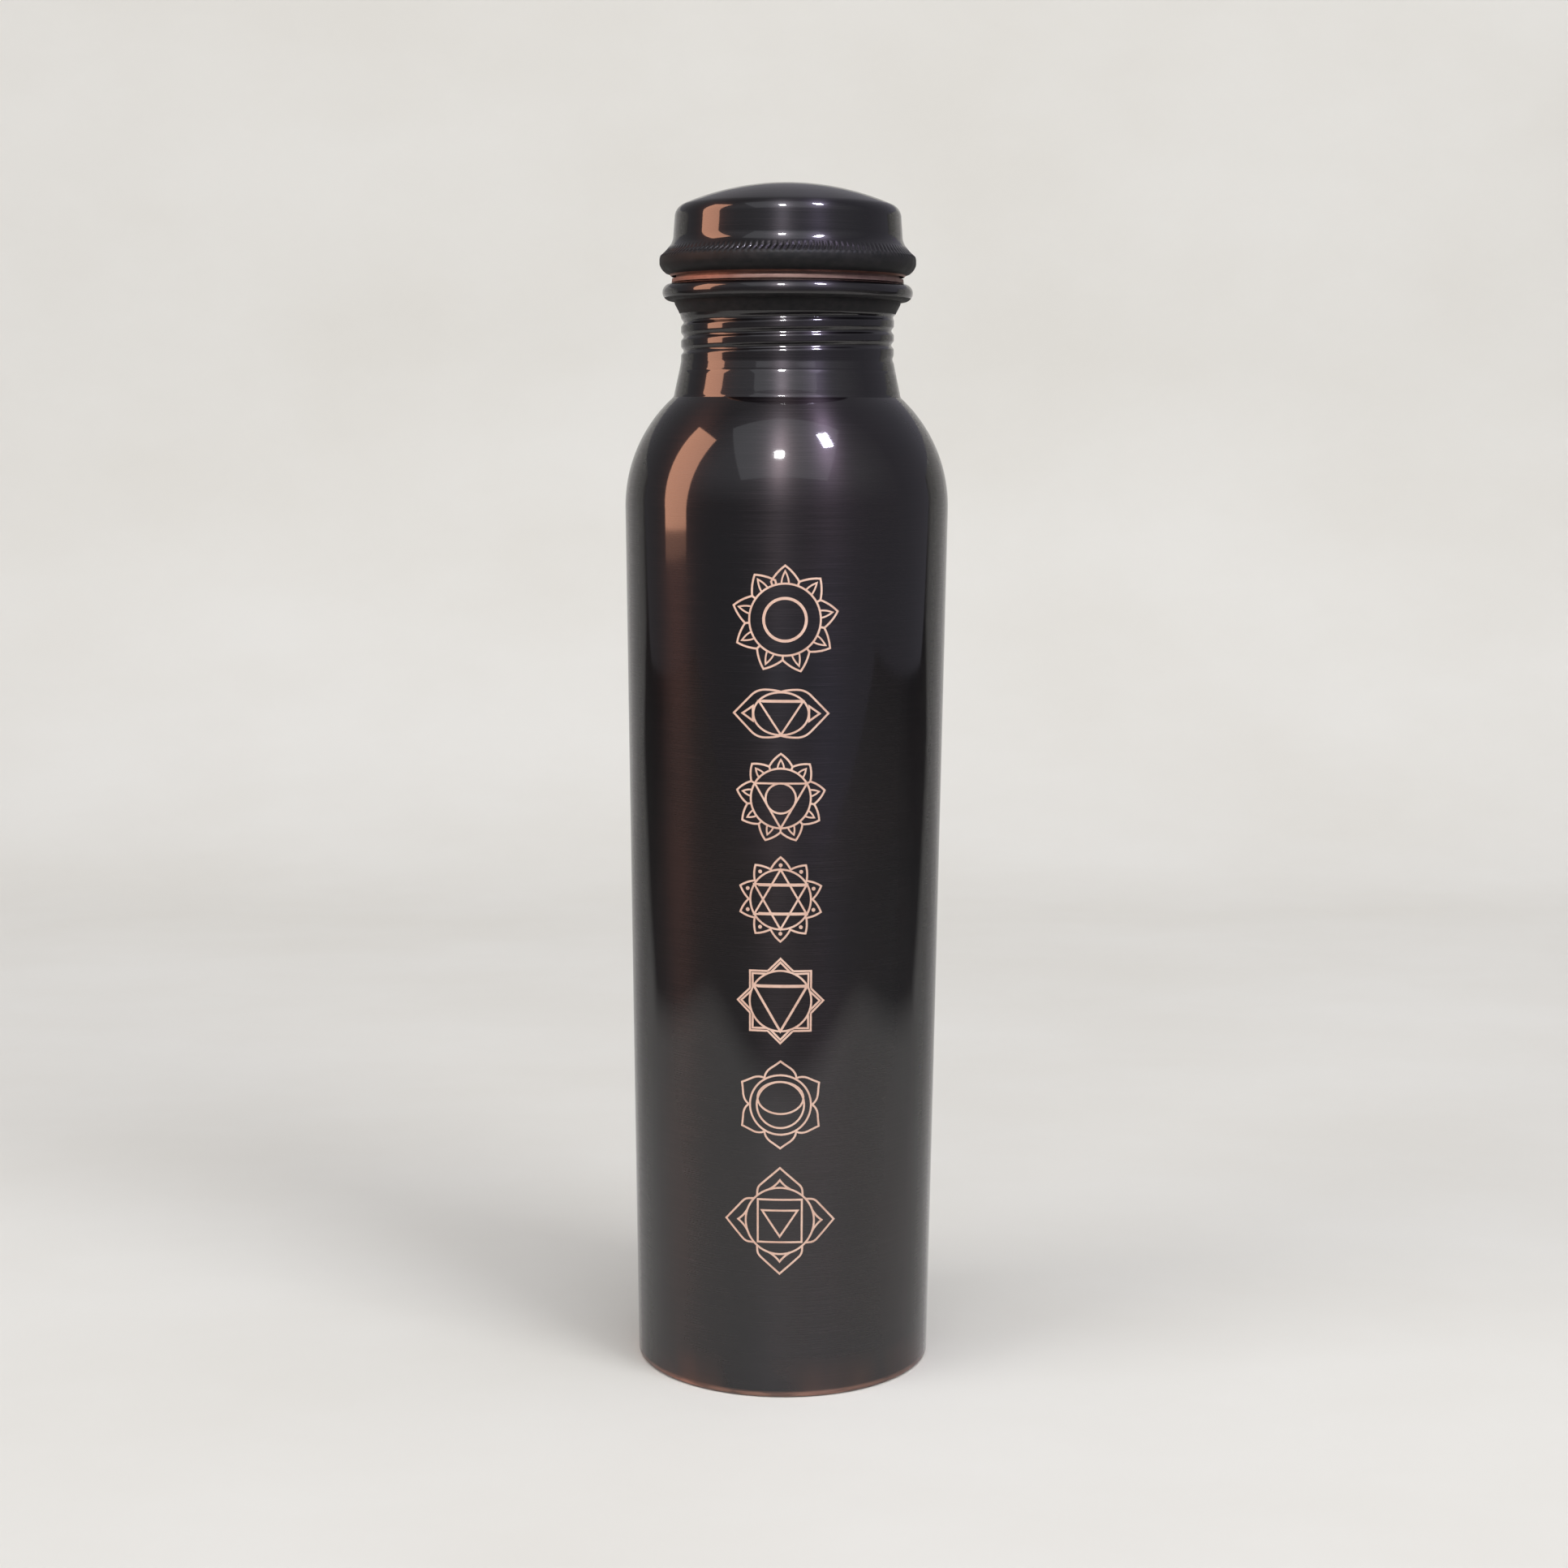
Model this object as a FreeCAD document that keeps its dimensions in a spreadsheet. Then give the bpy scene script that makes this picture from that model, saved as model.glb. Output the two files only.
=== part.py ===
import FreeCAD, Part
import os
import Sketcher

# A copper water bottle: a spun body with a soldered base plate, a threaded neck ring
# with a rolled mouth, and a domed screw lid with its own threaded plug and seal.
# The frame stands on the table: +Z runs up the bottle's axis and the origin is
# the centre of the standing face. The thread starts on the +X side.

doc = FreeCAD.newDocument("copper_water_bottle")

# Driving dimensions, in millimetres. Radii are outer radii unless the note says otherwise.
dimensions = [
    ("foot_radius", 34.05, "body at its lower edge"),
    ("side_radius", 36.5, "body where the shoulder begins"),
    ("side_height", 198, "height where the shoulder begins"),
    ("shoulder_curve", 33, "radius of the shoulder's arc"),
    ("wall", 0.7, "copper sheet of the body and the neck"),
    ("plate_sheet", 0.7, "copper sheet of the base plate"),
    ("standing_width", 5, "width of the flat ring that the bottle stands on"),
    ("dish_rise", 1.6, "rise of the base plate inside the standing ring"),
    ("skirt_height", 7, "height of the plate's skirt inside the wall"),
    ("neck_radius", 23.9, "threaded stretch of the neck"),
    ("crease_spread", 1.75, "how much wider the neck is at the shoulder"),
    ("cone_height", 7.9, "tapered stretch above the shoulder"),
    ("neck_lap", 2.5, "length of the neck's spigot inside the shoulder"),
    ("thread_pitch", 3.15, "rise of the rolled thread in one turn"),
    ("thread_length", 9.45, "height that the rolled thread climbs"),
    ("thread_rise", 8.6, "height of the first groove above the shoulder"),
    ("thread_depth", 0.45, "depth of the rolled thread"),
    ("thread_width", 1.7, "width of the groove at the surface"),
    ("thread_crest", 0.6, "width of the groove at its bottom"),
    ("thread_clearance", 0.35, "gap between the neck's ridge and the plug's groove"),
    ("thread_margin", 0.4, "plain stretch above the thread"),
    ("flare_height", 2.3, "height of the flare under the mouth"),
    ("bead_rise", 2.4, "height of the bead's centre above the flare"),
    ("bead_offset", 2.25, "how far the bead's centre stands outside the neck"),
    ("bead_radius", 1.9, "radius of the rolled bead's section"),
    ("bead_curl", 115, "angle below level, in degrees, where the bead's edge ends"),
    ("seat_gap", 0.2, "gap between the bead and the closed lid's seat"),
    ("seat_inset", 0.25, "how far the seat stands inside the bead's centre"),
    ("band_height", 1.4, "bare band between the mouth and the lid's rim"),
    ("plug_clearance", 0.3, "gap between the plug and the inside of the neck"),
    ("plug_depth", 18.1, "depth of the plug below its seat"),
    ("plug_wall", 1.1, "wall of the plug"),
    ("plug_round", 0.8, "rounding of the plug's bottom edge"),
    ("gasket_gap", 0.1, "slack between the seal and the plug"),
    ("gasket_clearance", 0.3, "gap between the seal and the mouth"),
    ("gasket_height", 1.6, "height of the seal"),
    ("lid_sheet", 0.7, "copper sheet of the lid and the plug's flange"),
    ("hem_height", 1.6, "height of the hem's outer corner"),
    ("lip_height", 2.3, "height of the hem under the flange"),
    ("lip_slack", 0.05, "gap between the hem and the plug's band"),
    ("rim_overhang", 0.65, "how far the rim stands outside the bead"),
    ("rim_slope", 2.5, "height of the rim's sloping underside"),
    ("rim_bevel", 0.7, "width of the rim's bevels"),
    ("rim_height", 1.8, "upright band of the rim"),
    ("bevel_height", 1.1, "height of the rim's upper bevel"),
    ("cove_radius", 1.1, "radius of the cove between rim and lid"),
    ("cove_drop", 2.1, "height of the cove's lower end above the upright band"),
    ("rim_step", 3.1, "how far the rim stands outside the lid's wall"),
    ("lid_draft", 0.4, "how much narrower the lid's wall is at its top"),
    ("lid_height", 21.8, "height of the lid above its seat"),
    ("dome_curve", 57, "radius of the lid's dome"),
    ("dome_edge", 2.5, "rounding between the dome and the lid's wall"),
]

# Places worked out from the dimensions. Heights are measured from the table.
places = [
    ("taper", "(dim.side_radius - dim.foot_radius) / (dim.side_height - dim.plate_sheet)"),
    ("standing_radius", "dim.foot_radius - dim.plate_sheet"),
    ("dish_radius", "standing_radius - dim.standing_width"),
    ("dish_curve", "(dish_radius ^ 2 + dim.dish_rise ^ 2) / 2 / dim.dish_rise"),
    ("dish_centre", "dim.dish_rise - dish_curve"),
    ("dish_middle", "90 - asin(dish_radius / dish_curve) / 2 deg"),
    ("skirt_radius", "dim.foot_radius - dim.wall"),
    ("skirt_top", "dim.plate_sheet + dim.skirt_height"),
    ("skirt_top_radius", "skirt_radius + dim.skirt_height * taper"),
    ("crease_radius", "dim.neck_radius + dim.crease_spread"),
    ("shoulder_centre", "dim.side_radius - dim.shoulder_curve"),
    ("crease_angle", "acos((crease_radius - shoulder_centre) / dim.shoulder_curve) / 1 deg"),
    ("crease_height", "dim.side_height + dim.shoulder_curve * sin(crease_angle)"),
    ("inner_curve", "dim.shoulder_curve - dim.wall"),
    ("inner_angle", "acos((crease_radius - shoulder_centre) / inner_curve) / 1 deg"),
    ("crease_inside", "dim.side_height + inner_curve * sin(inner_angle)"),
    ("bore_radius", "dim.neck_radius - dim.wall"),
    ("cone_top", "crease_height + dim.cone_height"),
    ("thread_start", "crease_height + dim.thread_rise"),
    ("thread_slope", "(dim.thread_width - dim.thread_crest) / 2 / dim.thread_depth"),
    ("flare_start", "thread_start + dim.thread_length + dim.thread_margin"),
    ("flare_top", "flare_start + dim.flare_height"),
    ("bead_height", "flare_top + dim.bead_rise"),
    ("bead_centre", "dim.neck_radius + dim.bead_offset"),
    ("bead_inner", "dim.bead_radius - dim.wall"),
    ("bead_middle", "(180 - dim.bead_curl) / 2"),
    ("mouth_radius", "bead_centre - dim.bead_radius"),
    ("seat_height", "bead_height + dim.bead_radius + dim.seat_gap"),
    ("seat_radius", "bead_centre - dim.seat_inset"),
    ("plug_radius", "bore_radius - dim.plug_clearance"),
    ("plug_bottom", "seat_height - dim.plug_depth"),
    ("lip_bottom", "seat_height + dim.band_height"),
    ("flange_height", "lip_bottom + dim.lip_height"),
    ("rim_radius", "bead_centre + dim.bead_radius + dim.rim_overhang"),
    ("rim_inside", "rim_radius - dim.lid_sheet"),
    ("rim_bottom", "lip_bottom + dim.rim_slope"),
    ("rim_top", "rim_bottom + dim.rim_height"),
    ("cove_end", "rim_top + dim.cove_drop"),
    ("lid_foot", "cove_end + dim.cove_radius"),
    ("lid_foot_radius", "rim_radius - dim.rim_step"),
    ("lid_top_radius", "lid_foot_radius - dim.lid_draft"),
    ("dome_top", "seat_height + dim.lid_height"),
    ("dome_centre", "dome_top - dim.dome_curve"),
    ("dome_reach", "dim.dome_curve - dim.dome_edge"),
    ("dome_angle", "asin((lid_top_radius - dim.dome_edge) / dome_reach) / 1 deg"),
    ("edge_height", "dome_centre + dome_reach * cos(dome_angle)"),
    ("edge_centre", "lid_top_radius - dim.dome_edge"),
    ("edge_inner", "dim.dome_edge - dim.lid_sheet"),
    ("dome_inner", "dim.dome_curve - dim.lid_sheet"),
    ("ridge_radius", "bore_radius - dim.thread_depth"),
    ("plug_groove_radius", "ridge_radius - dim.thread_clearance"),
    ("plug_groove_half", "dim.thread_crest / 2 + dim.thread_clearance"),
    ("lead_turns", "ceil((thread_start - plug_bottom) / dim.thread_pitch + 0.5)"),
    ("plug_groove_start", "thread_start - lead_turns * dim.thread_pitch"),
    ("plug_groove_length", "(lead_turns + 0.5) * dim.thread_pitch + dim.thread_length"),
]

sheet = doc.addObject("Spreadsheet::Sheet", "dim")
for row, (alias, value, note) in enumerate(dimensions, start=1):
    sheet.set(f"A{row}", alias)
    sheet.set(f"B{row}", str(value))
    sheet.set(f"C{row}", note)
    sheet.setAlias(f"B{row}", alias)

place = doc.addObject("Spreadsheet::Sheet", "place")
for row, (alias, formula) in enumerate(places, start=1):
    place.set(f"A{row}", alias)
    place.set(f"B{row}", "=" + formula)
    place.setAlias(f"B{row}", alias)
doc.recompute()


def value_of(expression):
    """The number that an expression gives in the document."""
    return float(place.evalExpression(expression))


def pin(sketch, geometry, end, axis, expression):
    """Hold one end of a line or arc at a height (axis Y) or a radius (axis X)."""
    if abs(value_of(expression)) < 1e-9:
        line = -2 if axis == "X" else -1
        sketch.addConstraint(Sketcher.Constraint("PointOnObject", geometry, end, line))
        return
    kind = "Distance" + axis
    held = Sketcher.Constraint(kind, -1, 1, geometry, end, value_of(expression))
    number = sketch.addConstraint(held)
    sketch.setExpression(f"Constraints[{number}]", expression)


def outline(body, name, corners):
    """A closed outline in the half plane right of the axis.

    Each corner is (radius, height), reached by a straight line, or
    (radius, height, radius, height), reached by an arc that passes the second pair."""
    sketch = body.newObject("Sketcher::SketchObject", name)
    plane = next(f for f in body.Origin.OriginFeatures if f.Role == "XZ_Plane")
    sketch.AttachmentSupport = [(plane, "")]
    sketch.MapMode = "FlatFace"
    spots = [[FreeCAD.Vector(value_of(c[i]), value_of(c[i + 1]), 0) for i in range(0, len(c), 2)]
             for c in corners]
    ends = []
    for i, spot in enumerate(spots):
        start = spots[i - 1][0]
        if len(spot) == 1:
            sketch.addGeometry(Part.LineSegment(start, spot[0]), False)
            ends.append((1, 2))
            continue
        sketch.addGeometry(Part.Arc(start, spot[1], spot[0]), False)
        forward = sketch.getPoint(i, 1).distanceToPoint(start) < 1e-6
        ends.append((1, 2) if forward else (2, 1))
    for i, corner in enumerate(corners):
        following = (i + 1) % len(corners)
        joined = Sketcher.Constraint("Coincident", i, ends[i][1], following, ends[following][0])
        sketch.addConstraint(joined)
        pin(sketch, i, ends[i][1], "X", corner[0])
        pin(sketch, i, ends[i][1], "Y", corner[1])
    for i, corner in enumerate(corners):
        if len(corner) == 4:
            passed = sketch.addGeometry(Part.Point(spots[i][1]), True)
            pin(sketch, passed, 1, "X", corner[2])
            pin(sketch, passed, 1, "Y", corner[3])
            sketch.addConstraint(Sketcher.Constraint("PointOnObject", passed, 1, i))
    doc.recompute()
    return sketch


def on_arc(centre, height, radius, angle):
    """The radius and height of the point of an arc that lies at an angle above level."""
    return f"{centre} + {radius} * cos({angle})", f"{height} + {radius} * sin({angle})"


def turned(name, corners):
    """A body turned about the bottle's axis."""
    body = doc.addObject("PartDesign::Body", name)
    sketch = outline(body, name + "_outline", corners)
    turn = body.newObject("PartDesign::Revolution", name + "_turned")
    turn.Profile = sketch
    turn.ReferenceAxis = (sketch, ["V_Axis"])
    turn.Angle = 360
    doc.recompute()
    return body


def thread(body, name, kind, start, length, root, root_half, crest, crest_half):
    """A right-hand helical groove or ridge with sloping flanks, which starts on +X."""
    sketch = outline(body, name + "_profile", [
        (root, f"{start} - {root_half}"),
        (crest, f"{start} - {crest_half}"),
        (crest, f"{start} + {crest_half}"),
        (root, f"{start} + {root_half}"),
    ])
    volume = body.Shape.Volume
    helix = body.newObject(kind, name)
    helix.Profile = sketch
    helix.ReferenceAxis = (sketch, ["V_Axis"])
    helix.Mode = "pitch-height-angle"
    helix.setExpression("Pitch", "dim.thread_pitch")
    helix.setExpression("Height", length)
    doc.recompute()
    print(f"{name}: {body.Shape.Volume - volume:+.1f} cubic millimetres")


# The body is spun from one sheet: a side that widens slightly towards the shoulder,
# and a round shoulder that ends at the hole for the neck.
bottle_body = turned("bottle_body", [
    ("dim.foot_radius", "dim.plate_sheet"),
    ("dim.side_radius", "dim.side_height"),
    ("place.crease_radius", "place.crease_height",
     *on_arc("place.shoulder_centre", "dim.side_height", "dim.shoulder_curve",
             "place.crease_angle / 2")),
    ("place.crease_radius", "place.crease_inside"),
    ("dim.side_radius - dim.wall", "dim.side_height",
     *on_arc("place.shoulder_centre", "dim.side_height", "place.inner_curve",
             "place.inner_angle / 2")),
    ("place.skirt_radius", "dim.plate_sheet"),
])

# The base plate is a pressed dish. Its skirt is soldered inside the wall and its
# edge is folded out under the wall, where it shows as a bare copper line.
base_plate = turned("base_plate", [
    ("0", "dim.dish_rise"),
    ("place.dish_radius", "0",
     *on_arc("0", "place.dish_centre", "place.dish_curve", "place.dish_middle")),
    ("place.standing_radius", "0"),
    ("dim.foot_radius", "dim.plate_sheet",
     *on_arc("place.standing_radius", "dim.plate_sheet", "dim.plate_sheet", "-45")),
    ("place.skirt_radius", "dim.plate_sheet"),
    ("place.skirt_top_radius", "place.skirt_top"),
    ("place.skirt_top_radius - dim.plate_sheet", "place.skirt_top"),
    ("place.skirt_radius - dim.plate_sheet", "dim.plate_sheet"),
    ("place.dish_radius", "dim.plate_sheet"),
    ("0", "dim.dish_rise + dim.plate_sheet",
     *on_arc("0", "(place.dish_centre + dim.plate_sheet)", "place.dish_curve",
             "place.dish_middle")),
])

# The neck ring carries the rolled thread: a groove outside and the matching ridge
# inside. Its spigot is soldered in the shoulder's hole and its mouth is rolled
# outwards into a hollow bead whose edge stops short of the neck.
neck_ring = turned("neck_ring", [
    ("place.crease_radius - dim.wall", "place.crease_inside - dim.neck_lap"),
    ("place.crease_radius", "place.crease_inside - dim.neck_lap"),
    ("place.crease_radius", "place.crease_height"),
    ("dim.neck_radius", "place.cone_top"),
    ("dim.neck_radius", "place.flare_start"),
    ("place.mouth_radius + dim.wall", "place.flare_top"),
    ("place.mouth_radius + dim.wall", "place.bead_height"),
    (*on_arc("place.bead_centre", "place.bead_height", "place.bead_inner", "-dim.bead_curl"),
     *on_arc("place.bead_centre", "place.bead_height", "place.bead_inner", "place.bead_middle")),
    on_arc("place.bead_centre", "place.bead_height", "dim.bead_radius", "-dim.bead_curl"),
    ("place.mouth_radius", "place.bead_height",
     *on_arc("place.bead_centre", "place.bead_height", "dim.bead_radius", "place.bead_middle")),
    ("place.mouth_radius", "place.flare_top + dim.wall"),
    ("place.bore_radius", "place.flare_start + dim.wall / 2"),
    ("place.bore_radius", "place.cone_top"),
    ("place.crease_radius - dim.wall", "place.crease_height"),
])
thread(neck_ring, "neck_groove", "PartDesign::SubtractiveHelix",
       "place.thread_start", "dim.thread_length",
       "dim.neck_radius - dim.thread_depth", "dim.thread_crest / 2",
       "dim.neck_radius + dim.thread_depth", "(dim.thread_width - dim.thread_crest / 2)")
thread(neck_ring, "neck_ridge", "PartDesign::AdditiveHelix",
       "place.thread_start", "dim.thread_length",
       "place.ridge_radius", "dim.thread_crest / 2",
       "place.bore_radius + dim.wall / 4",
       "(dim.thread_width / 2 + dim.wall / 4 * place.thread_slope)")

# The lid's shell: a shallow dome on a short wall, a cove, and a rim that is
# folded under the plug's flange.
cap_shell = turned("cap_shell", [
    ("0", "place.dome_top"),
    (*on_arc("0", "place.dome_centre", "dim.dome_curve", "90 - place.dome_angle"),
     *on_arc("0", "place.dome_centre", "dim.dome_curve", "90 - place.dome_angle / 2")),
    ("place.lid_top_radius", "place.edge_height",
     *on_arc("place.edge_centre", "place.edge_height", "dim.dome_edge", "45")),
    ("place.lid_foot_radius", "place.lid_foot"),
    ("place.lid_foot_radius + dim.cove_radius", "place.cove_end",
     *on_arc("(place.lid_foot_radius + dim.cove_radius)", "place.lid_foot",
             "dim.cove_radius", "-135")),
    ("place.rim_radius - dim.rim_bevel", "place.rim_top + dim.bevel_height"),
    ("place.rim_radius", "place.rim_top"),
    ("place.rim_radius", "place.rim_bottom"),
    ("place.rim_radius - dim.rim_bevel", "place.lip_bottom + dim.hem_height"),
    ("place.seat_radius + dim.lip_slack", "place.lip_bottom"),
    ("place.seat_radius + dim.lip_slack", "place.flange_height"),
    ("place.rim_inside", "place.flange_height"),
    ("place.rim_inside", "place.rim_top"),
    ("place.lid_foot_radius", "place.cove_end - dim.lid_sheet"),
    ("place.lid_foot_radius - dim.lid_sheet", "place.lid_foot"),
    ("place.lid_top_radius - dim.lid_sheet", "place.edge_height"),
    (*on_arc("0", "place.dome_centre", "place.dome_inner", "90 - place.dome_angle"),
     *on_arc("place.edge_centre", "place.edge_height", "place.edge_inner", "45")),
    ("0", "place.dome_top - dim.lid_sheet",
     *on_arc("0", "place.dome_centre", "place.dome_inner", "90 - place.dome_angle / 2")),
])

# The plug is a closed cup that screws into the neck. Its seat stands just above
# the bead and its flange is held in the lid's rim.
cap_plug = turned("cap_plug", [
    ("0", "place.plug_bottom"),
    ("place.plug_radius - dim.plug_round", "place.plug_bottom"),
    ("place.plug_radius", "place.plug_bottom + dim.plug_round",
     *on_arc("(place.plug_radius - dim.plug_round)", "(place.plug_bottom + dim.plug_round)",
             "dim.plug_round", "-45")),
    ("place.plug_radius", "place.seat_height"),
    ("place.seat_radius", "place.seat_height"),
    ("place.seat_radius", "place.flange_height"),
    ("place.rim_inside - dim.lip_slack", "place.flange_height"),
    ("place.rim_inside - dim.lip_slack", "place.flange_height + dim.lid_sheet"),
    ("place.seat_radius - dim.plug_wall", "place.flange_height + dim.lid_sheet"),
    ("place.seat_radius - dim.plug_wall", "place.seat_height + dim.plug_wall"),
    ("place.plug_radius - dim.plug_wall", "place.seat_height + dim.plug_wall"),
    ("place.plug_radius - dim.plug_wall", "place.plug_bottom + dim.plug_wall"),
    ("0", "place.plug_bottom + dim.plug_wall"),
])
thread(cap_plug, "plug_groove", "PartDesign::SubtractiveHelix",
       "place.plug_groove_start", "place.plug_groove_length",
       "place.plug_groove_radius", "place.plug_groove_half",
       "place.plug_radius + dim.thread_clearance",
       "(place.plug_groove_half + (place.plug_radius + dim.thread_clearance"
       " - place.plug_groove_radius) * place.thread_slope / 2)")

# The seal is a soft ring round the plug, just under the seat and inside the mouth.
cap_gasket = turned("cap_gasket", [
    ("place.plug_radius + dim.gasket_gap", "place.seat_height - dim.gasket_gap"),
    ("place.mouth_radius - dim.gasket_clearance", "place.seat_height - dim.gasket_gap"),
    ("place.mouth_radius - dim.gasket_clearance",
     "place.seat_height - dim.gasket_gap - dim.gasket_height"),
    ("place.plug_radius + dim.gasket_gap",
     "place.seat_height - dim.gasket_gap - dim.gasket_height"),
])

pieces = [bottle_body, base_plate, neck_ring, cap_shell, cap_plug, cap_gasket]
doc.recompute()
for thing in doc.Objects:
    if "Invalid" in thing.State or "Error" in thing.State:
        raise RuntimeError(f"{thing.Label} failed to build")
for piece in pieces:
    if piece.Shape.isNull() or not piece.Shape.isValid() or len(piece.Shape.Solids) != 1:
        raise RuntimeError(f"{piece.Label} is not one valid solid")

os.makedirs("parts", exist_ok=True)
for piece in pieces:
    piece.Shape.exportStep(f"parts/{piece.Label}.step")
    print(f"{piece.Label}: {piece.Shape.Volume:.0f} cubic millimetres")
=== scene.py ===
import bmesh
import bpy
import math
from mathutils import Matrix, Vector


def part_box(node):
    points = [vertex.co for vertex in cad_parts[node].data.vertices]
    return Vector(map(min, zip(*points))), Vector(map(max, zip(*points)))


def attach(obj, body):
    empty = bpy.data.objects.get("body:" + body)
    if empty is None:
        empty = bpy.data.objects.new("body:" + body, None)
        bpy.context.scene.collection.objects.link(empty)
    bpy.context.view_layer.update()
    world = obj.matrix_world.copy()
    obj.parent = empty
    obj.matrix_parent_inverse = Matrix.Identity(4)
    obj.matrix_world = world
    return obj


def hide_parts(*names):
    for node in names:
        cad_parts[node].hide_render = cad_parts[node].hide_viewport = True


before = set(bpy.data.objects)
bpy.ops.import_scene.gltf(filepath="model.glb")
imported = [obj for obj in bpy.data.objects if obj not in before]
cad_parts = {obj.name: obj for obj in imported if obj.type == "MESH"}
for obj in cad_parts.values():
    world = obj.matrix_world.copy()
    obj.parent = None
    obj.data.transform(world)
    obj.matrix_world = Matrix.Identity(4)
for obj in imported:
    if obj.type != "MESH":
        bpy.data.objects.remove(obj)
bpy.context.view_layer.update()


# Body: one copper sheet, drawn and spun on a lathe. The side widens slightly upwards
# and turns over in a round shoulder to the hole for the neck. The copper is darkened
# with a sulphur bath, brushed while it turns, and lacquered.

body_low, body_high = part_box("bottle_body")
foot_radius = 0.03405
side_radius = body_high.x
side_height = 0.198
shoulder_curve = 0.033
sheet = 0.0007


def arc(centre, height, radius, first, last, steps):
    """Points of an arc in the half plane, by angles in degrees above level."""
    angles = [math.radians(first + (last - first) * i / steps) for i in range(steps + 1)]
    return [(centre + radius * math.cos(a), height + radius * math.sin(a)) for a in angles]


def line(first, last, steps):
    """Evenly spaced points after the first one, up to and with the last one."""
    return [tuple(a + (b - a) * i / steps for a, b in zip(first, last))
            for i in range(1, steps + 1)]


def spun(name, profile, steps, shape=None, finish=None):
    """Spins a closed outline about the bottle's axis.

    The shape moves the plain surface in or out, and the finish picks a material."""
    bm = bmesh.new()
    ring = [bm.verts.new((radius, 0, height)) for radius, height in profile]
    edges = [bm.edges.new((a, b)) for a, b in zip(ring, ring[1:] + ring[:1])]
    bmesh.ops.spin(bm, geom=ring + edges, cent=(0, 0, 0), axis=(0, 0, 1), dvec=(0, 0, 0),
                   angle=math.tau, steps=steps, use_merge=True, use_duplicate=False)
    bmesh.ops.remove_doubles(bm, verts=bm.verts, dist=1e-7)
    bmesh.ops.dissolve_degenerate(bm, edges=bm.edges, dist=1e-7)
    bmesh.ops.recalc_face_normals(bm, faces=bm.faces)
    if finish:
        for face in bm.faces:
            middle = face.calc_center_median()
            face.material_index = finish(math.hypot(middle.x, middle.y), middle.z)
    if shape:
        for vert in bm.verts:
            radius = math.hypot(vert.co.x, vert.co.y)
            angle = math.atan2(vert.co.y, vert.co.x) % math.tau
            moved = shape(radius, angle, vert.co.z)
            if radius > 0:
                vert.co.x *= moved / radius
                vert.co.y *= moved / radius
    mesh = bpy.data.meshes.new(name)
    bm.to_mesh(mesh)
    bm.free()
    mesh.shade_smooth()
    mesh.set_sharp_from_angle(angle=math.radians(40))
    piece = bpy.data.objects.new(name, mesh)
    bpy.context.collection.objects.link(piece)
    return piece


def body_radius(height):
    share = (height - body_low.z) / (side_height - body_low.z)
    return foot_radius + (side_radius - foot_radius) * share


neck_low, neck_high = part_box("neck_ring")
crease_radius = 0.02565
shoulder_centre = side_radius - shoulder_curve
crease_angle = math.degrees(math.acos((crease_radius - shoulder_centre) / shoulder_curve))
inner_angle = math.degrees(math.acos((crease_radius - shoulder_centre) / (shoulder_curve - sheet)))

shell = spun("body_shell", [
    (foot_radius - sheet, body_low.z),
    (foot_radius, body_low.z),
    *line((foot_radius, body_low.z), (side_radius, side_height), 24)[:-1],
    *arc(shoulder_centre, side_height, shoulder_curve, 0, crease_angle, 32),
    *arc(shoulder_centre, side_height, shoulder_curve - sheet, inner_angle, 0, 16),
], 256)


def nodes_of(material):
    tree = material.node_tree
    tree.nodes.clear()
    return tree.nodes, tree.links


def grain(nodes, links, scale, detail, roughness, label):
    """Noise on the piece's own coordinates, stretched by the three scales."""
    place = nodes.new("ShaderNodeTexCoord")
    stretch = nodes.new("ShaderNodeMapping")
    stretch.inputs["Scale"].default_value = scale
    noise = nodes.new("ShaderNodeTexNoise")
    noise.inputs["Scale"].default_value = 1
    noise.inputs["Detail"].default_value = detail
    noise.inputs["Roughness"].default_value = roughness
    noise.label = label
    links.new(place.outputs["Object"], stretch.inputs["Vector"])
    links.new(stretch.outputs["Vector"], noise.inputs["Vector"])
    return noise.outputs["Fac"]


def spread(nodes, links, value, low, high, to_low, to_high):
    """Maps a value from one range to another."""
    ranged = nodes.new("ShaderNodeMapRange")
    for name, number in (("From Min", low), ("From Max", high),
                         ("To Min", to_low), ("To Max", to_high)):
        ranged.inputs[name].default_value = number
    links.new(value, ranged.inputs["Value"])
    return ranged.outputs["Result"]


def tinted(nodes, links, factor, first, second):
    """Mixes two colours by a factor. Either one is a colour or another node's output."""
    mix = nodes.new("ShaderNodeMix")
    mix.data_type = "RGBA"
    links.new(factor, mix.inputs["Factor"])
    for colour, socket in ((first, mix.inputs[6]), (second, mix.inputs[7])):
        if isinstance(colour, tuple):
            socket.default_value = (*colour, 1)
        else:
            links.new(colour, socket)
    return mix.outputs[2]


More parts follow.
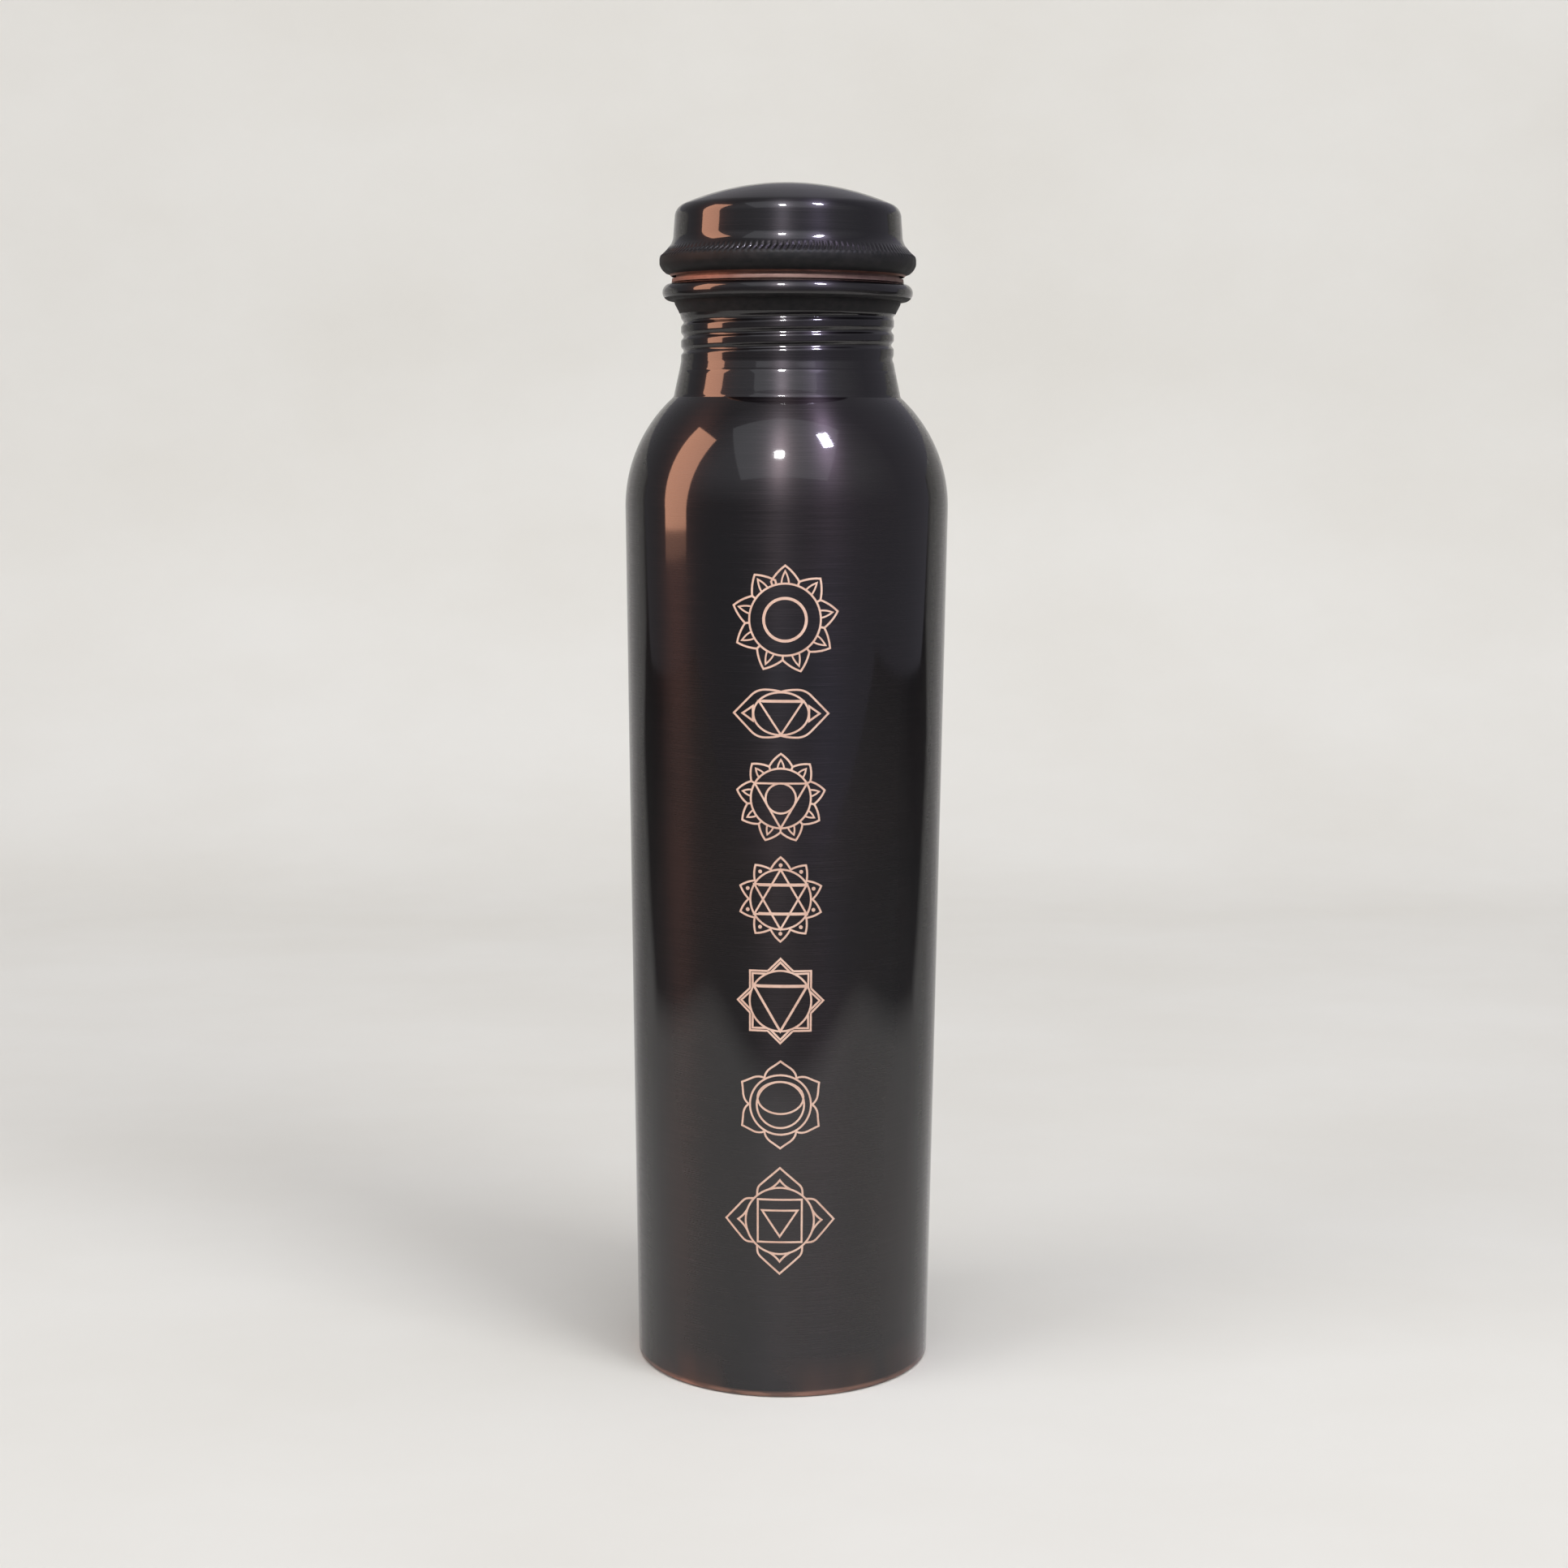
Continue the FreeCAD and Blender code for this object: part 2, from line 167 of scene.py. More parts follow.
def darkened_copper(name, worn_height, brown):
    """Blackened copper under lacquer, with turning marks and copper where it is rubbed."""
    material = bpy.data.materials.new(name)
    material.use_nodes = True
    nodes, links = nodes_of(material)
    surface = nodes.new("ShaderNodeBsdfPrincipled")
    output = nodes.new("ShaderNodeOutputMaterial")
    links.new(surface.outputs["BSDF"], output.inputs["Surface"])

    clouds = grain(nodes, links, (35, 35, 16), 3, 0.55, "bath clouds")
    marks = grain(nodes, links, (60, 60, 5200), 4, 0.6, "turning marks")
    scuffs = grain(nodes, links, (160, 160, 1500), 2, 0.5, "scuffs")
    dark = tinted(nodes, links, spread(nodes, links, clouds, 0.35, 0.7, 0, 1),
                  (0.0105, 0.0098, 0.0120), brown)
    lined = tinted(nodes, links, spread(nodes, links, marks, 0.45, 0.8, 0, 0.2),
                   dark, (0.045, 0.036, 0.040))

    place = nodes.new("ShaderNodeTexCoord")
    parts = nodes.new("ShaderNodeSeparateXYZ")
    links.new(place.outputs["Object"], parts.inputs["Vector"])
    height = parts.outputs["Z"]
    warmed = nodes.new("ShaderNodeMath")
    warmed.operation = "MULTIPLY"
    links.new(spread(nodes, links, height, worn_height + 0.009, worn_height, 0, 1),
              warmed.inputs[0])
    links.new(spread(nodes, links, clouds, 0.42, 0.62, 0, 0.8), warmed.inputs[1])
    browned = tinted(nodes, links, warmed.outputs["Value"], lined, (0.075, 0.035, 0.024))
    rubbed = nodes.new("ShaderNodeMath")
    rubbed.operation = "MULTIPLY"
    links.new(spread(nodes, links, height, worn_height + 0.0009, worn_height + 0.0003, 0, 1),
              rubbed.inputs[0])
    links.new(spread(nodes, links, scuffs, 0.35, 0.60, 0.35, 0.9), rubbed.inputs[1])
    colour = tinted(nodes, links, rubbed.outputs["Value"], browned, (0.24, 0.125, 0.09))
    links.new(colour, surface.inputs["Base Color"])

    links.new(spread(nodes, links, marks, 0.3, 0.75, 0.34, 0.44), surface.inputs["Roughness"])
    surface.inputs["Metallic"].default_value = 1
    surface.inputs["Specular Tint"].default_value = (0.40, 0.38, 0.42, 1)
    surface.inputs["Coat Weight"].default_value = 1
    surface.inputs["Coat Roughness"].default_value = 0.055
    surface.inputs["Coat IOR"].default_value = 1.5
    surface.inputs["Anisotropic"].default_value = 0.8
    surface.inputs["Anisotropic Rotation"].default_value = 0.25
    around = nodes.new("ShaderNodeTangent")
    around.direction_type = "RADIAL"
    around.axis = "Z"
    links.new(around.outputs["Tangent"], surface.inputs["Tangent"])

    bump = nodes.new("ShaderNodeBump")
    bump.inputs["Strength"].default_value = 0.2
    bump.inputs["Distance"].default_value = 0.00001
    links.new(marks, bump.inputs["Height"])
    links.new(bump.outputs["Normal"], surface.inputs["Normal"])
    return material


body_finish = darkened_copper("dark_copper_body", body_low.z, (0.0170, 0.0125, 0.0135))
shell.data.materials.append(body_finish)
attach(shell, "bottle")
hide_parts("bottle_body")


# Base plate: a pressed copper dish with a skirt soldered inside the wall. Its edge is
# folded out under the wall and takes the body's dark finish, as painted shade for the
# dark line where the bottle stands.

plate_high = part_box("base_plate")[1]
plate_sheet = body_low.z
standing_radius = foot_radius - plate_sheet
dish_radius = standing_radius - 0.005
dish_rise = 0.0016
skirt_radius = foot_radius - sheet


def dish(height, steps):
    """The shallow dome of the dish, from the axis out to the standing ring."""
    return [(dish_radius * i / steps, height + dish_rise * (1 - (i / steps) ** 2))
            for i in range(steps + 1)]


def folded_edge_shade(radius, height):
    """Painted shade: the folded edge takes the body's dark finish, for the dark contact line where
    the bottle stands.
    """
    return 1 if radius > standing_radius - 0.0002 and height < plate_sheet + 0.0001 else 0


plate = spun("base_dish", [
    *dish(0, 12),
    (standing_radius, 0),
    *arc(standing_radius, plate_sheet, plate_sheet, -75, 0, 5),
    (skirt_radius, plate_sheet),
    (skirt_radius + 0.00008, plate_high.z),
    (skirt_radius - plate_sheet, plate_high.z),
    (skirt_radius - plate_sheet, plate_sheet),
    *reversed(dish(plate_sheet, 12)),
], 192, None, folded_edge_shade)


def bare_copper(name, bright, dull, roughness):
    """Plain copper sheet with a light tarnish and fine turning marks."""
    material = bpy.data.materials.new(name)
    material.use_nodes = True
    nodes, links = nodes_of(material)
    surface = nodes.new("ShaderNodeBsdfPrincipled")
    output = nodes.new("ShaderNodeOutputMaterial")
    links.new(surface.outputs["BSDF"], output.inputs["Surface"])
    tarnish = grain(nodes, links, (180, 180, 260), 4, 0.6, "tarnish")
    marks = grain(nodes, links, (60, 60, 6000), 3, 0.6, "turning marks")
    colour = tinted(nodes, links, spread(nodes, links, tarnish, 0.35, 0.7, 0, 1), bright, dull)
    links.new(colour, surface.inputs["Base Color"])
    links.new(spread(nodes, links, marks, 0.3, 0.7, roughness, roughness + 0.15),
              surface.inputs["Roughness"])
    surface.inputs["Metallic"].default_value = 1
    bump = nodes.new("ShaderNodeBump")
    bump.inputs["Strength"].default_value = 0.5
    bump.inputs["Distance"].default_value = 0.00002
    links.new(marks, bump.inputs["Height"])
    links.new(bump.outputs["Normal"], surface.inputs["Normal"])
    return material


plate_finish = bare_copper("bare_copper_plate", (0.50, 0.25, 0.17), (0.22, 0.10, 0.07), 0.35)
plate.data.materials.append(plate_finish)
# Slot 1: the body's dark finish, painted shade on the folded edge.
plate.data.materials.append(body_finish)
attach(plate, "bottle")
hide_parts("base_plate")


# Signs: seven line drawings cut through the dark layer down the front of the body, so
# that fresh copper shows. Each is a flower or a leaf round simple geometric figures.

line_width = 0.00043
bold_width = 0.00062
line_rise = 0.00003
crossing_step = 0.0000004
point_gap = 0.0007
column = -0.0009


def polar(radius, degrees):
    """A point of a sign, by its distance from the centre and its angle from straight up."""
    a = math.radians(degrees)
    return radius * math.sin(a), radius * math.cos(a)


def bent(start, bend, end):
    """Points of a curve pulled towards a third point, without its first point."""
    steps = max(2, math.ceil((math.dist(start, bend) + math.dist(bend, end)) / point_gap))
    shares = [i / steps for i in range(1, steps + 1)]
    return [tuple(a * (1 - t) ** 2 + 2 * b * t * (1 - t) + c * t * t
                  for a, b, c in zip(start, bend, end)) for t in shares]


def straight(start, end):
    return bent(start, tuple((a + b) / 2 for a, b in zip(start, end)), end)


def polygon(*corners):
    """A closed figure with straight sides."""
    return [p for pair in zip(corners, corners[1:] + corners[:1]) for p in straight(*pair)]


def oval(width, height, rise=0.0):
    """An ellipse with the half width and the half height given."""
    count = max(24, math.ceil(math.tau * max(width, height) / point_gap))
    return [(width * math.sin(math.tau * i / count), rise + height * math.cos(math.tau * i / count))
            for i in range(count)]


def both_sides(half, degrees):
    """A petal from its right side, given from foot to tip, turned clockwise."""
    a = math.radians(degrees)
    whole = half + [(-x, y) for x, y in reversed(half[:-1])]
    return [(x * math.cos(a) + y * math.sin(a), y * math.cos(a) - x * math.sin(a))
            for x, y in whole]


def petal_side(half_angle, ring, valley, tip, swell):
    """The right side of a petal: a short tail on the ring, then a swelling curve."""
    foot, low, top = polar(ring, half_angle), polar(valley, half_angle), (0.0, tip)
    middle = ((low[0] + top[0]) / 2, (low[1] + top[1]) / 2)
    long = math.dist(low, top)
    out = ((top[1] - low[1]) / long, (low[0] - top[0]) / long)
    bend = (middle[0] + out[0] * swell, middle[1] + out[1] * swell)
    return [foot] + straight(foot, low) + bent(low, bend, top)


def flower(count, ring, half, step):
    """Petals round a ring, by the angle from one to the next, and the ring itself."""
    petals = [(both_sides(half, step * i), False, line_width) for i in range(count)]
    return petals + [(oval(ring, ring), True, line_width)]


def arches(count, ring, foot, tip, step):
    """Small pointed arches inside the petals, by the half width of their foot."""
    start = (foot, math.sqrt(ring ** 2 - foot ** 2))
    half = [start] + bent(start, (foot * 0.95, (ring + tip) / 2), (0.0, tip))
    return [(both_sides(half, step * i), False, line_width * 0.85) for i in range(count)]


crown_ring = 0.00775
crown_step = 40.7
crown = [
    *flower(9, crown_ring, petal_side(20.3, crown_ring, 0.0087, 0.0116, 0.0005), crown_step),
    *arches(9, crown_ring, 0.0008, 0.0104, crown_step),
    (oval(0.0046, 0.0046), True, bold_width),
]

leaf_dip = (0.0, 0.00475)
leaf_top = (0.0034, 0.0052)
leaf_side = (0.0066, 0.0038)
leaf_half = [leaf_dip] + bent(leaf_dip, (0.0014, 0.0052), leaf_top)
leaf_half += bent(leaf_top, (0.0053, 0.0052), leaf_side)
leaf_half += straight(leaf_side, (0.01035, 0.0))
leaf = leaf_half + [(x, -y) for x, y in reversed(leaf_half[:-1])]
leaf += [(-x, y) for x, y in reversed(leaf[1:-1])]
brow = [
    (leaf, True, line_width),
    (oval(0.0060, 0.00465), True, line_width),
    (polygon((-0.0048, 0.0027), (0.0048, 0.0027), (0.0, -0.0046)), True, line_width),
    (straight((-0.0047, 0.0027), (0.0047, 0.0027)), False, bold_width),
    (polygon((-0.0084, 0.0), (-0.0061, 0.0016), (-0.0061, -0.0016)), True, line_width),
    (polygon((0.0084, 0.0), (0.0061, 0.0016), (0.0061, -0.0016)), True, line_width),
]

throat_ring = 0.00655
throat = [
    *flower(9, throat_ring, petal_side(20, throat_ring, 0.0074, 0.00975, 0.0005), 40),
    *arches(9, throat_ring, 0.0007, 0.00845, 40),
    (polygon(*(polar(throat_ring, a) for a in (-60, 60, 180))), True, line_width),
    (oval(0.0033, 0.0033), True, line_width),
]

heart_ring = 0.00665
bar_reach = 0.0064
dot_radius = 0.00022
heart = [
    *flower(10, heart_ring, petal_side(18, heart_ring, 0.0070, 0.00935, 0.0004), 36),
    (polygon(*(polar(heart_ring, a) for a in (-60, 60, 180))), True, line_width),
    (polygon(*(polar(heart_ring, a) for a in (0, 120, 240))), True, line_width),
    (straight(polar(bar_reach, -60), polar(bar_reach, 60)), False, bold_width),
    (straight(polar(bar_reach, -120), polar(bar_reach, 120)), False, bold_width),
]
for i in range(10):
    x, y = polar(0.0076, 36 * i)
    dot = [(x + a, y + b) for a, b in oval(dot_radius, dot_radius)]
    heart.append((dot, True, 0.00040))

navel_ring = 0.0068
point_foot = polar(0.00672 / math.cos(math.radians(22.5)), 22.5)
inner_foot = polar(navel_ring, 18.6)
navel = [
    *flower(8, navel_ring, [point_foot] + straight(point_foot, (0.0, 0.0095)), 45),
    *((both_sides([inner_foot] + straight(inner_foot, (0.0, 0.0087)), 45 * i), False, line_width)
      for i in range(8)),
    (polygon(*(polar(navel_ring, a) for a in (-60, 60, 180))), True, line_width * 1.2),
    (straight(polar(0.0066, -60), polar(0.0066, 60)), False, bold_width),
]

wave_foot = polar(0.00705, 30)
wave_turn = (0.00225, 0.0083)
wave = [wave_foot] + bent(wave_foot, (0.0034, 0.0074), wave_turn)
wave += bent(wave_turn, (0.0009, 0.0092), (0.0, 0.0099))
tide = [
    *flower(6, 0.00677, wave, 60),
    (oval(0.00525, 0.00525), True, line_width),
    (oval(0.00507, 0.00365, 0.0016), True, line_width),
]

earth_ring = 0.00765
broad_foot = polar(earth_ring, 41.5)
broad_turn = (0.0050, 0.0070)
broad_end = (0.0040, 0.0086)
broad = [broad_foot] + straight(broad_foot, broad_turn)
broad += bent(broad_turn, (0.0049, 0.0079), broad_end)
broad += straight(broad_end, (0.0, 0.0122))
arch_foot = polar(earth_ring, 19)
arch = [arch_foot] + bent(arch_foot, (0.0010, 0.0080), (0.0, 0.0094))
half_side = 0.0049
square = polygon((-half_side, half_side), (half_side, half_side),
                 (half_side, -half_side), (-half_side, -half_side))
earth = [
    *flower(4, earth_ring, broad, 90),
    *((both_sides(arch, 90 * i), False, line_width) for i in range(4)),
    (square, True, line_width),
    (polygon((-0.00395, 0.0024), (0.00395, 0.0024), (0.0, -0.0036)), True, line_width),
]


def stroke(bm, points, closed, width, height, shift, rise):
    """Lays one line of a sign on the body as a thin flat band with mitred corners.

    Each line stands a hair above the one before, so that crossing lines don't share a face."""
    count = len(points)
    sides = []
    for i, (x, y) in enumerate(points):
        back = points[i - 1] if closed or i else points[0]
        ahead = points[(i + 1) % count] if closed or i + 1 < count else points[-1]
        before = Vector((x - back[0], y - back[1]))
        after = Vector((ahead[0] - x, ahead[1] - y))
        before = before if before.length else after
        after = after if after.length else before
        first = Vector((before.y, -before.x)).normalized()
        second = Vector((after.y, -after.x)).normalized()
        across = (first + second).normalized()
        sides.append(across * width / 2 / max(across.dot(first), 0.35))
    chain = [bm.verts.new((x - o.x, y - o.y, 0)) for (x, y), o in zip(points, sides)]
    pairs = list(zip(chain, chain[1:] + chain[:1])) if closed else list(zip(chain, chain[1:]))
    grown = bmesh.ops.extrude_edge_only(bm, edges=[bm.edges.new(pair) for pair in pairs])["geom"]
    fresh = {v for v in grown if isinstance(v, bmesh.types.BMVert)}
    for vert, offset in zip(chain, sides):
        partner = next(e.other_vert(vert) for e in vert.link_edges if e.other_vert(vert) in fresh)
        partner.co.x += 2 * offset.x
        partner.co.y += 2 * offset.y
    band = [f for f in grown if isinstance(f, bmesh.types.BMFace)]
    raised = bmesh.ops.extrude_face_region(bm, geom=band, use_keep_orig=True)["geom"]
    upper = {v for v in raised if isinstance(v, bmesh.types.BMVert)}
    for vert in {v for f in band for v in f.verts} | upper:
        z = height + vert.co.y
        radius = body_radius(z) + (rise if vert in upper else -line_rise)
        angle = (column + shift + vert.co.x) / body_radius(height)
        vert.co = (radius * math.sin(angle), -radius * math.cos(angle), z)


bm = bmesh.new()
for height, shift, lines in (
        (0.1752, 0.00065, crown), (0.1549, -0.00013, brow), (0.1364, -0.0001, throat),
        (0.1141, -0.00004, heart), (0.0914, 0.00003, navel), (0.0679, 0.00013, tide),
        (0.0413, 0.0001, earth)):
    for number, (points, closed, width) in enumerate(lines):
        stroke(bm, points, closed, width, height, shift, line_rise + number * crossing_step)
bmesh.ops.recalc_face_normals(bm, faces=bm.faces)
sign_mesh = bpy.data.meshes.new("engraved_signs")
bm.to_mesh(sign_mesh)
bm.free()
engraving = bpy.data.objects.new("engraved_signs", sign_mesh)
bpy.context.collection.objects.link(engraving)
fresh_copper = bare_copper("fresh_copper_lines", (0.71, 0.505, 0.40), (0.58, 0.375, 0.285), 0.6)
fresh_copper.node_tree.nodes["Principled BSDF"].inputs["Metallic"].default_value = 0.35
engraving.data.materials.append(fresh_copper)
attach(engraving, "bottle")


# Neck: a turned copper ring soldered in the shoulder's hole. The thread is rolled into
# the sheet, so the groove outside is a ridge inside, and the mouth is rolled outwards
# into a hollow bead.

neck_radius = 0.0239
bore_radius = neck_radius - sheet
bead_radius = 0.0019
bead_centre = neck_high.x - bead_radius
bead_height = neck_high.z - bead_radius
mouth_radius = bead_centre - bead_radius
crease_height = body_high.z
cone_top = crease_height + 0.0079
thread_pitch = 0.00315
thread_turns = 3
thread_start = crease_height + 0.0086
thread_depth = 0.00056
thread_half = 0.00105
flare_start = thread_start + thread_turns * thread_pitch - 0.0006
flare_top = flare_start + 0.0037


def thread_wave(angle, height, start, turns):
    """How deep the rolled groove is at a place, from 0 on the plain wall to 1 in its middle."""
    phase = angle / math.tau
    turn = phase + round((height - start) / thread_pitch - phase)
    away = abs(height - start - turn * thread_pitch)
    if away > thread_half:
        return 0.0
    fade = min(max((turn + 0.1) / 0.2, 0), 1) * min(max((turns + 0.1 - turn) / 0.2, 0), 1)
    return fade * (1 + math.cos(math.pi * away / thread_half)) / 2


def rolled_thread(radius, angle, height):
    """Moves the plain neck's wall in along the thread."""
    if not bore_radius - 0.0001 < radius < neck_radius + 0.0002:
        return radius
    return radius - thread_depth * thread_wave(angle, height, thread_start, thread_turns)


def shade_under_mouth(radius, height):
    """Painted shade: the neck under the rolled mouth takes the matt black, for the dark band under
    the bead.
    """
    return 1 if radius > neck_radius + 0.0004 and flare_start < height < bead_height - 0.0011 else 0


def matt_black(name):
    """The same blackened copper, matt and without lacquer. On the lid's rim it is the finish; under
    the rolled mouth it is painted shade.
    """
    material = bpy.data.materials.new(name)
    material.use_nodes = True
    nodes, links = nodes_of(material)
    surface = nodes.new("ShaderNodeBsdfPrincipled")
    output = nodes.new("ShaderNodeOutputMaterial")
    links.new(surface.outputs["BSDF"], output.inputs["Surface"])
    soot = grain(nodes, links, (500, 500, 700), 4, 0.6, "soot")
    colour = tinted(nodes, links, spread(nodes, links, soot, 0.35, 0.7, 0, 1),
                    (0.012, 0.012, 0.013), (0.022, 0.020, 0.021))
    links.new(colour, surface.inputs["Base Color"])
    links.new(spread(nodes, links, soot, 0.3, 0.7, 0.5, 0.65), surface.inputs["Roughness"])
    surface.inputs["Metallic"].default_value = 0.2
    surface.inputs["Specular IOR Level"].default_value = 0.12
    bump = nodes.new("ShaderNodeBump")
    bump.inputs["Strength"].default_value = 0.4
    bump.inputs["Distance"].default_value = 0.00003
    links.new(soot, bump.inputs["Height"])
    links.new(bump.outputs["Normal"], surface.inputs["Normal"])
    return material


kink_height = crease_height + 0.0058
kink_radius = neck_radius + 0.00042
neck = spun("neck_thread", [
    (crease_radius - sheet, neck_low.z),
    (crease_radius, neck_low.z),
    (crease_radius, crease_height - 0.0001),
    (crease_radius - 0.00004, crease_height + 0.00008),
    (crease_radius - 0.00014, crease_height + 0.00030),
    (crease_radius - 0.00022, crease_height + 0.00060),
    (crease_radius - 0.00028, crease_height + 0.00100),
    *line((crease_radius - 0.00028, crease_height + 0.00100), (kink_radius, kink_height), 6),
    (kink_radius - 0.00006, kink_height + 0.00010),
    (kink_radius - 0.00005, kink_height + 0.00022),
    *line((kink_radius - 0.00005, kink_height + 0.00022), (neck_radius, cone_top), 6),
    *line((neck_radius, cone_top), (neck_radius, flare_start), 60),
    (neck_radius + 0.00003, flare_start + 0.0003),
    (neck_radius + 0.00014, flare_start + 0.0006),
    (neck_radius + 0.00030, flare_start + 0.0010),
    (neck_radius + 0.00064, flare_start + 0.0017),
    (neck_radius + 0.00100, flare_start + 0.0024),
    (neck_radius + 0.00128, flare_start + 0.0029),
    (neck_radius + 0.00142, flare_start + 0.0033),
    *arc(bead_centre, bead_height, bead_radius, -112, 180, 40),
    (mouth_radius, flare_top + sheet),
    (bore_radius, flare_start + sheet / 2),
    *line((bore_radius, flare_start), (bore_radius, cone_top), 60),
    (crease_radius - sheet, crease_height),
], 288, rolled_thread, shade_under_mouth)
unworn = -1.0
neck_finish = darkened_copper("dark_copper_neck", unworn, (0.0150, 0.0120, 0.0135))
neck.data.materials.append(neck_finish)
# Slot 1: matt black, painted shade on the neck under the rolled mouth.
neck.data.materials.append(matt_black("painted_shade_under_mouth"))
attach(neck, "bottle")
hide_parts("neck_ring")


# Lid: a domed copper cap, spun and blackened like the body. A slanting knurl is rolled
# into the top of its rim for grip, and the rim's edge is folded under the plug's flange.

lid_low, lid_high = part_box("cap_shell")
rim_radius = lid_high.x
seat_radius = bead_centre - 0.00025
lid_sheet = 0.0007
hem_radius = seat_radius + 0.00005
flange_height = lid_low.z + 0.0023
rim_bottom = lid_low.z + 0.0025
rim_top = rim_bottom + 0.0018
knurl_top = rim_top + 0.0015
lid_foot = lid_low.z + 0.0091
lid_foot_radius = rim_radius - 0.0031
lid_top_radius = lid_foot_radius - 0.0003
skirt_end = lid_foot - 0.0027
skirt_radius = lid_foot_radius + 0.00105
skirt_turn = math.degrees(2 * math.atan((skirt_radius - lid_foot_radius) / (lid_foot - skirt_end)))
skirt_curve = (lid_foot - skirt_end) / math.sin(math.radians(skirt_turn))
dome_top = lid_high.z + 0.00025
dome_curve = 0.0592
dome_edge = 0.0031
dome_centre = dome_top - dome_curve
dome_reach = dome_curve - dome_edge
dome_angle = math.degrees(math.asin((lid_top_radius - dome_edge) / dome_reach))
edge_height = dome_centre + dome_reach * math.cos(math.radians(dome_angle))
knurl_count = 130
knurl_depth = 0.00036
knurl_lean = 0.6


def knurled(radius, angle, height):
    """Presses the slanting marks into the slope above the rim."""
    if radius < rim_radius - 0.0021 or not rim_top - 0.0001 < height < knurl_top:
        return radius
    share = (height - rim_top + 0.0001) / (knurl_top - rim_top + 0.0001)
    swell = math.sin(math.pi * min(max(share, 0), 1)) ** 0.5
    lean = knurl_lean * (height - rim_top) / rim_radius
    wave = (1 + math.cos(knurl_count * (angle - lean))) / 2
    return radius - knurl_depth * swell * wave ** 2


def rim_finish(radius, height):
    """The knurled rim is matt, and its folded edge is cut through to the copper."""
    if radius > hem_radius - 0.00005 and height < lid_low.z + 0.00041:
        return 2
    return 1 if radius > rim_radius - 0.0026 and height < rim_top + 0.0003 else 0


lid = spun("lid_shell", [
    *arc(0, dome_centre, dome_curve, 90, 90 - dome_angle, 20)[1:],
    *arc(lid_top_radius - dome_edge, edge_height, dome_edge, 90 - dome_angle, 0, 8)[1:],
    *line((lid_top_radius, edge_height), (lid_foot_radius, lid_foot), 2),
    *arc(lid_foot_radius + skirt_curve, lid_foot, skirt_curve, 180, 180 + skirt_turn, 10)[1:],
    (rim_radius - 0.0014, knurl_top - 0.0002),
    *line((rim_radius - 0.0014, knurl_top - 0.0002), (rim_radius - 0.0002, rim_top + 0.0002), 8),
    (rim_radius - 0.00006, rim_top - 0.0002),
    (rim_radius, rim_top - 0.0006),
    (rim_radius, rim_bottom + 0.0003),
    (rim_radius - 0.00008, rim_bottom - 0.0001),
    (rim_radius - 0.0003, rim_bottom - 0.0006),
    (rim_radius - 0.0007, rim_bottom - 0.0012),
    (rim_radius - 0.0014, lid_low.z + 0.0007),
    (hem_radius + 0.0005, lid_low.z + 0.0004),
    (hem_radius + 0.00015, lid_low.z),
    (hem_radius, lid_low.z + 0.0001),
    (hem_radius, flange_height),
    (rim_radius - lid_sheet, flange_height),
    (rim_radius - lid_sheet, rim_top - 0.0002),
    (skirt_radius - 0.0001, skirt_end - lid_sheet),
    (lid_foot_radius - lid_sheet, lid_foot),
    (lid_top_radius - lid_sheet, edge_height),
    *arc(lid_top_radius - dome_edge, edge_height, dome_edge - lid_sheet, 0, 90 - dome_angle, 4)[1:],
    *arc(0, dome_centre, dome_curve - lid_sheet, 90 - dome_angle, 90, 8)[1:],
    (0, dome_top),
], 910, knurled, rim_finish)
lid_finish = darkened_copper("dark_copper_lid", unworn, (0.0150, 0.0120, 0.0135))
lid.data.materials.append(lid_finish)
lid.data.materials.append(matt_black("black_knurled_rim"))
lid.data.materials.append(
    bare_copper("copper_cut_edge", (0.33, 0.17, 0.13), (0.20, 0.10, 0.08), 0.4))
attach(lid, "cap")
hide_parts("cap_shell")


# Plug: a deep copper cup with its own thread, held in the lid by its flange. It is left
# bare because it touches the water, and its seat shows as a band above the mouth.

plug_low, plug_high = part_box("cap_plug")
plug_radius = bore_radius - 0.0003
plug_wall = 0.0011
plug_round = 0.0008
seat_height = neck_high.z + 0.0002
plug_depth = 0.0009
lead_turns = math.ceil((thread_start - plug_low.z) / thread_pitch + 0.5)


def plug_thread(radius, angle, height):
    """Cuts the plug's groove, which runs out through its bottom edge."""
    if radius < plug_radius - 0.0001 or radius > plug_radius + 0.0001:
        return radius
    start = thread_start - lead_turns * thread_pitch
    return radius - plug_depth * 0.55 * thread_wave(angle, height, start, lead_turns + 3.5)


plug = spun("lid_plug", [
    (0, plug_low.z),
    (plug_radius - plug_round, plug_low.z),
    *arc(plug_radius - plug_round, plug_low.z + plug_round, plug_round, -90, 0, 6)[1:],
    *line((plug_radius, plug_low.z + plug_round), (plug_radius, seat_height), 60),
    *line((plug_radius, seat_height), (seat_radius, seat_height), 3),
    *arc(seat_radius, seat_height + 0.0001, 0.0001, -90, 0, 3)[1:],
    (seat_radius, seat_height + 0.0009),
    (seat_radius - 0.0009, seat_height + 0.0010),
    (seat_radius - 0.0009, flange_height),
    (plug_high.x, flange_height),
    (plug_high.x, plug_high.z),
    (seat_radius - plug_wall, plug_high.z),
    (seat_radius - plug_wall, seat_height + plug_wall),
    (plug_radius - plug_wall, seat_height + plug_wall),
    (plug_radius - plug_wall, plug_low.z + plug_wall),
    (0, plug_low.z + plug_wall),
], 216, plug_thread)
plug.data.materials.append(
    bare_copper("bare_copper_plug", (0.31, 0.21, 0.185), (0.21, 0.13, 0.115), 0.52))
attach(plug, "cap")
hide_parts("cap_plug")


# Seal: a soft silicone ring round the plug, under its seat. It is pressed against the
# inside of the mouth when the lid is screwed down.

